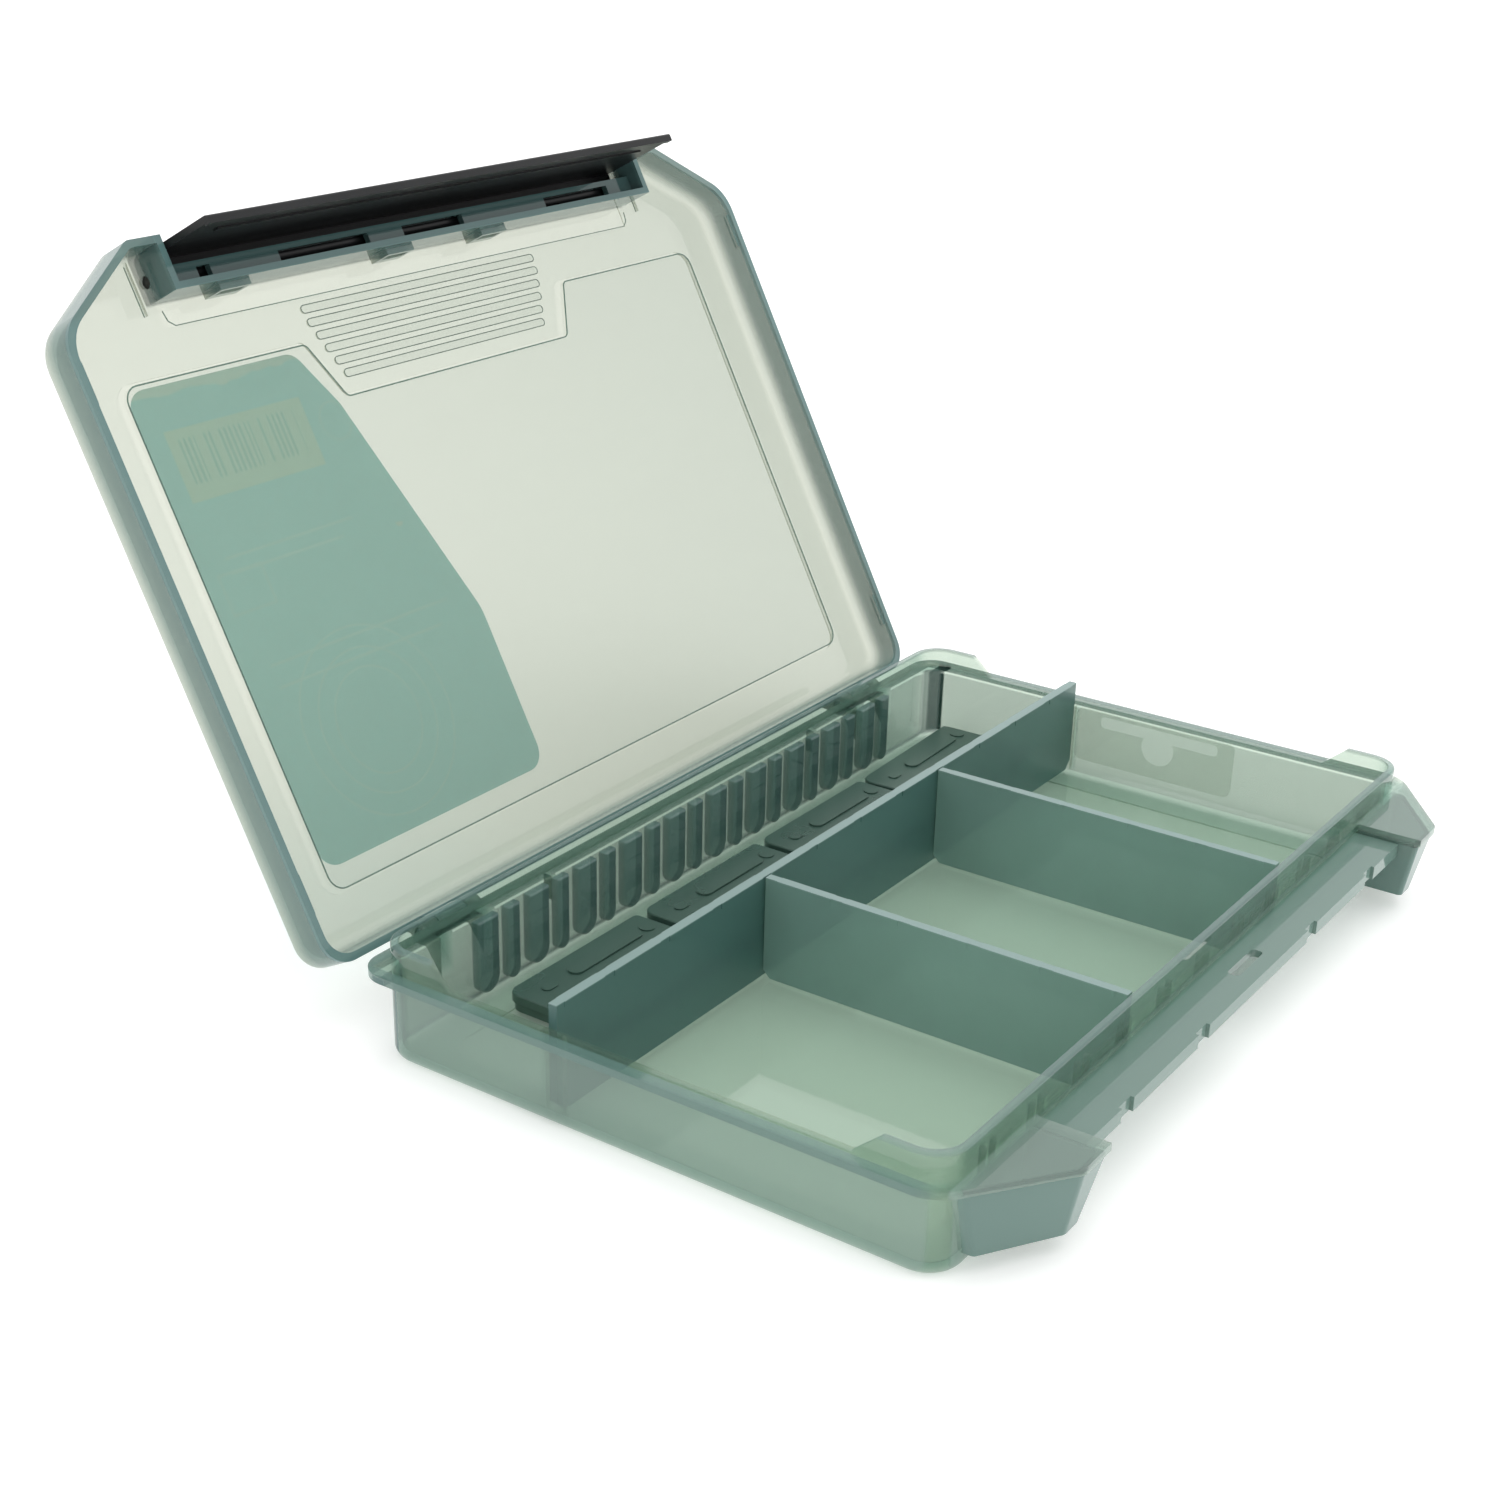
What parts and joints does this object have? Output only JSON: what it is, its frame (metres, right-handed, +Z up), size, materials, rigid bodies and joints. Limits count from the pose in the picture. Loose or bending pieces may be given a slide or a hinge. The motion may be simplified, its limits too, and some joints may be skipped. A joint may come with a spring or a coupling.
{
  "type": "hinged compartment box",
  "caption": "Flat clear-plastic storage box with a hinged lid, a full-width swinging latch bar and lift-out partitions.",
  "frame": {"origin": "centre of the tray's flat bottom face", "axes": "+X along the hinge, +Y towards the hinge side, +Z up"},
  "size_m": [0.205, 0.2166, 0.1434],
  "materials": {
    "tray_plastic": "clear tinted moulded polypropylene, glossy",
    "lid_plastic": "clear tinted moulded polypropylene, glossy, thin",
    "latch_plastic": "near-black moulded plastic, satin",
    "label_film": "plain teal printed film",
    "tab_film": "thin clear adhesive film",
    "divider_plastic": "frosted translucent teal plastic",
    "spare_plastic": "dark smoke-grey translucent plastic"
  },
  "bodies": {
    "base": {"tray": "tray_plastic", "hang_tab": "tab_film"},
    "cover": {"lid": "lid_plastic", "label": "label_film"},
    "latch_bar": {"latch": "latch_plastic"},
    "long_wall": {"long_divider": "divider_plastic"},
    "left_wall": {"short_divider_left": "divider_plastic"},
    "right_wall": {"short_divider_right": "divider_plastic"},
    "spare_1_low": {"spare_1_lower": "spare_plastic"},
    "spare_1_top": {"spare_1_upper": "spare_plastic"},
    "spare_2_low": {"spare_2_lower": "spare_plastic"},
    "spare_2_top": {"spare_2_upper": "spare_plastic"},
    "spare_3_low": {"spare_3_lower": "spare_plastic"},
    "spare_3_top": {"spare_3_upper": "spare_plastic"},
    "spare_4_low": {"spare_4_lower": "spare_plastic"},
    "spare_4_top": {"spare_4_upper": "spare_plastic"}
  },
  "joints": [
    {"name": "lid_hinge", "type": "hinge", "parent": "base", "child": "cover", "pos_m": [0, 0.066, 0.0165], "axis": [-1, 0, 0], "range_deg": [-118, 0]},
    {"name": "latch_hinge", "type": "hinge", "parent": "cover", "child": "latch_bar", "pos_m": [0, 0.13745, 0.12937], "axis": [-1, 0, 0], "range_deg": [0, 100]},
    {"name": "long_wall_lift", "type": "slide", "parent": "base", "child": "long_wall", "axis": [0, 0, 1], "range_m": [0, 0.03]},
    {"name": "left_wall_lift", "type": "slide", "parent": "base", "child": "left_wall", "axis": [0, 0, 1], "range_m": [0, 0.03]},
    {"name": "right_wall_lift", "type": "slide", "parent": "base", "child": "right_wall", "axis": [0, 0, 1], "range_m": [0, 0.03]},
    {"name": "spare_1_lift", "type": "slide", "parent": "base", "child": "spare_1_low", "axis": [0, 0, 1], "range_m": [0, 0.03]},
    {"name": "spare_1_top_lift", "type": "slide", "parent": "spare_1_low", "child": "spare_1_top", "axis": [0, 0, 1], "range_m": [0, 0.03]},
    {"name": "spare_2_lift", "type": "slide", "parent": "base", "child": "spare_2_low", "axis": [0, 0, 1], "range_m": [0, 0.03]},
    {"name": "spare_2_top_lift", "type": "slide", "parent": "spare_2_low", "child": "spare_2_top", "axis": [0, 0, 1], "range_m": [0, 0.03]},
    {"name": "spare_3_lift", "type": "slide", "parent": "base", "child": "spare_3_low", "axis": [0, 0, 1], "range_m": [0, 0.03]},
    {"name": "spare_3_top_lift", "type": "slide", "parent": "spare_3_low", "child": "spare_3_top", "axis": [0, 0, 1], "range_m": [0, 0.03]},
    {"name": "spare_4_lift", "type": "slide", "parent": "base", "child": "spare_4_low", "axis": [0, 0, 1], "range_m": [0, 0.03]},
    {"name": "spare_4_top_lift", "type": "slide", "parent": "spare_4_low", "child": "spare_4_top", "axis": [0, 0, 1], "range_m": [0, 0.03]}
  ]
}
